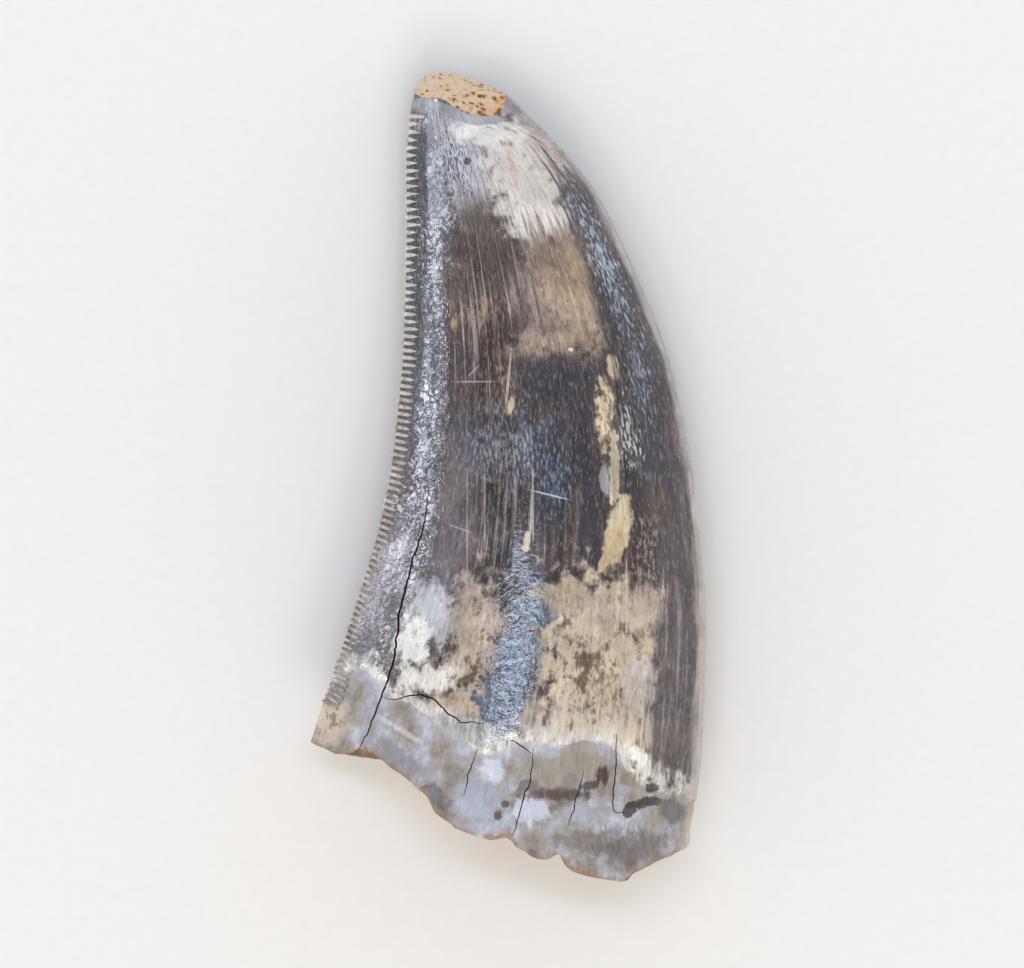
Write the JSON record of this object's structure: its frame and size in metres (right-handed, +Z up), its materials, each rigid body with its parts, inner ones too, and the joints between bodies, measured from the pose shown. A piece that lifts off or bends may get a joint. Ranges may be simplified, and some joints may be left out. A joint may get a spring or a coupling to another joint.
{
  "type": "tyrannosaur tooth fossil",
  "caption": "Curved fossil tooth with serrated edges, a broken tip and a broken root end, lying on its side.",
  "frame": {"origin": "middle of the small flat spot that the tooth lies on", "axes": "+Y towards the tip, +X towards the front edge, +Z up, out of the side that is seen"},
  "size_m": [0.0271, 0.0557, 0.0154],
  "materials": {
    "fossil_tooth": "glossy blue-grey and brown stained enamel, dull grey root, cream broken tip"
  },
  "bodies": {
    "root": {"tooth": "fossil_tooth"}
  },
  "joints": []
}
